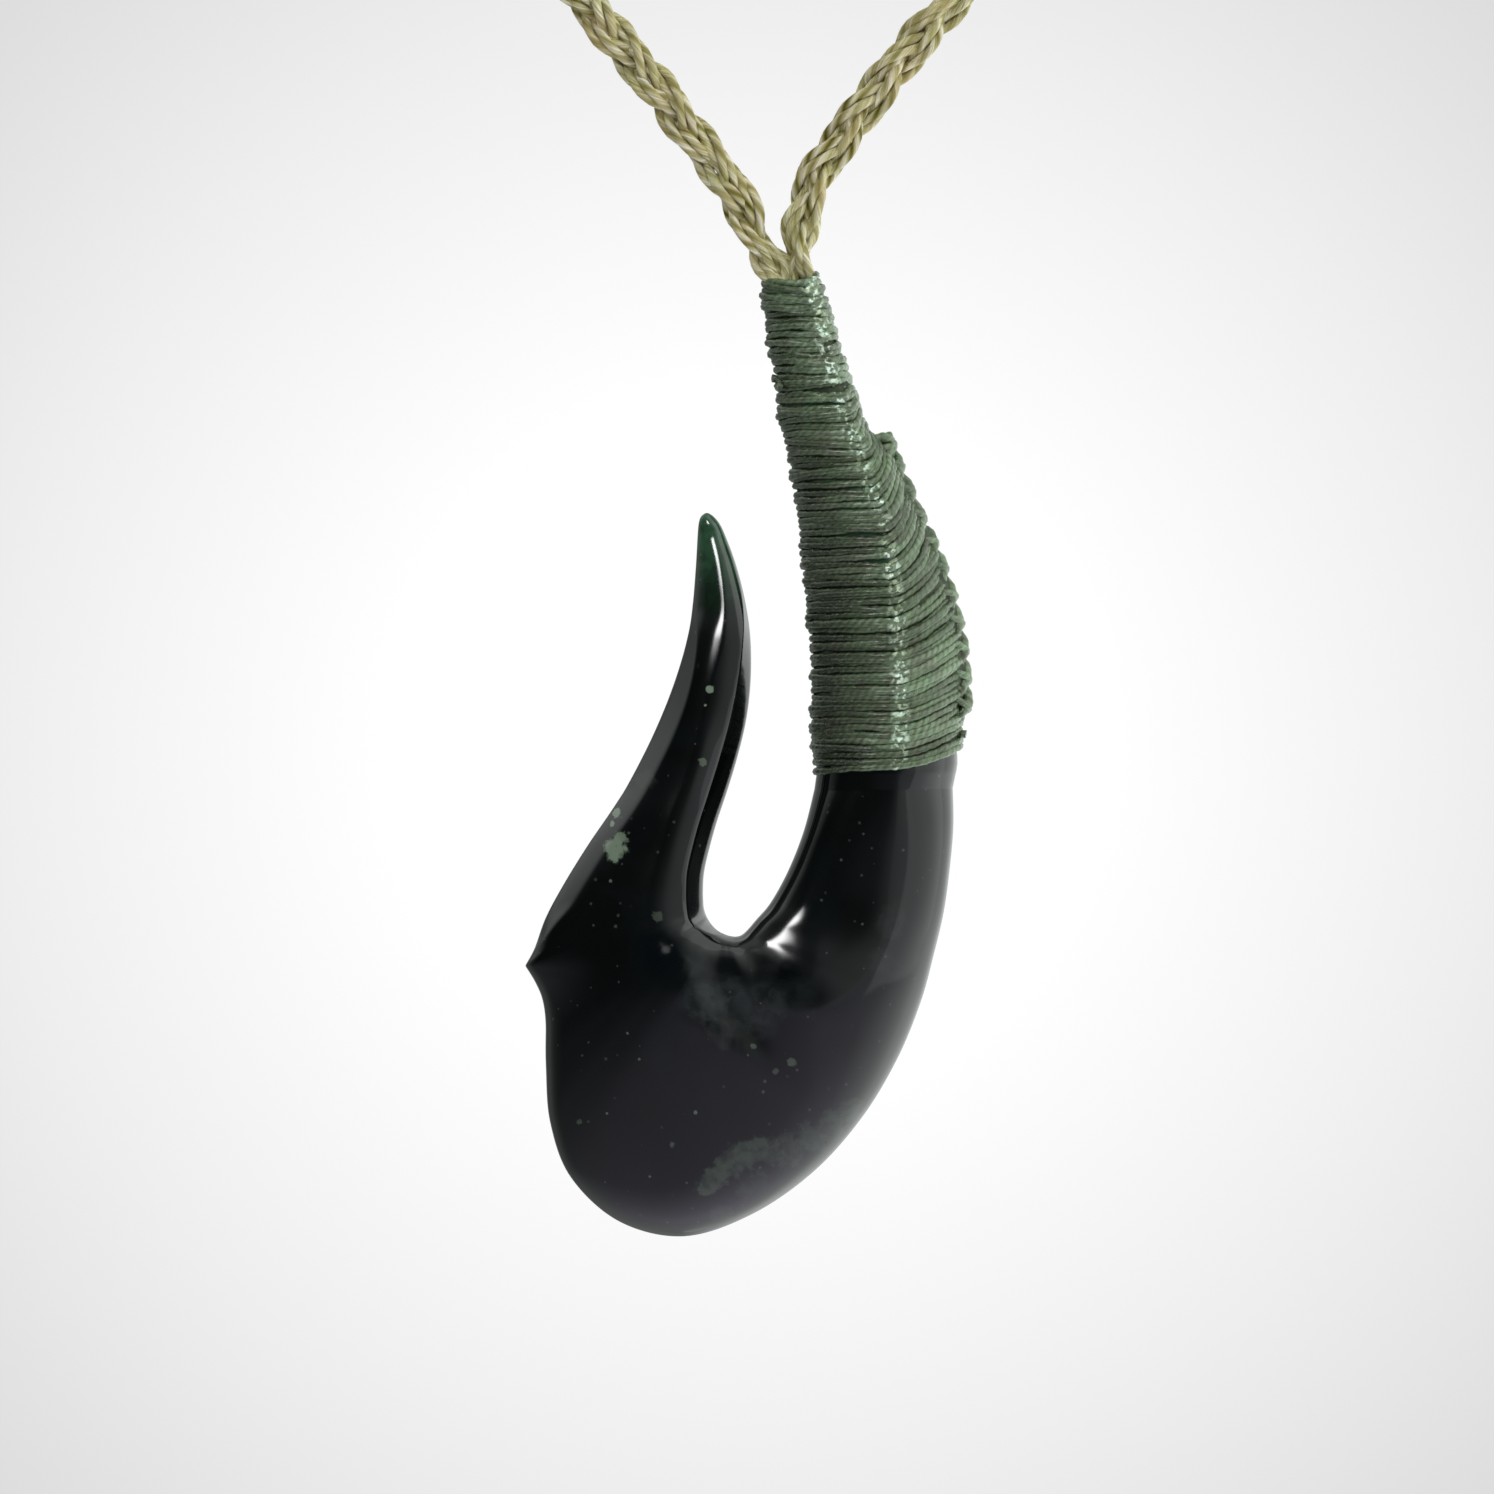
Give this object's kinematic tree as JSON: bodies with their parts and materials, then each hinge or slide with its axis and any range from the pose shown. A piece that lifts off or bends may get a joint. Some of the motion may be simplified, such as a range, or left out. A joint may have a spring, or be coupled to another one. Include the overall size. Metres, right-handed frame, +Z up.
{
  "type": "hei matau pendant",
  "caption": "Carved dark green stone fish-hook pendant with a barb, bound with wound green thread and hung from a plaited neck cord loop.",
  "frame": {"origin": "the nape, where the plaited cord rests on the back of the neck", "axes": "+X to the right of the picture, +Z up, the pendant's front faces -Y"},
  "size_m": [0.1434, 0.1194, 0.2571],
  "materials": {
    "jade": "polished",
    "binding_thread": "waxed",
    "cord_yarn": "waxed twisted yarn"
  },
  "bodies": {
    "root": {"stone_hook": "jade", "binding": "binding_thread", "edge_hitching": "binding_thread", "plait_strand_a": "cord_yarn", "plait_strand_b": "cord_yarn", "plait_strand_c": "cord_yarn"}
  },
  "joints": []
}
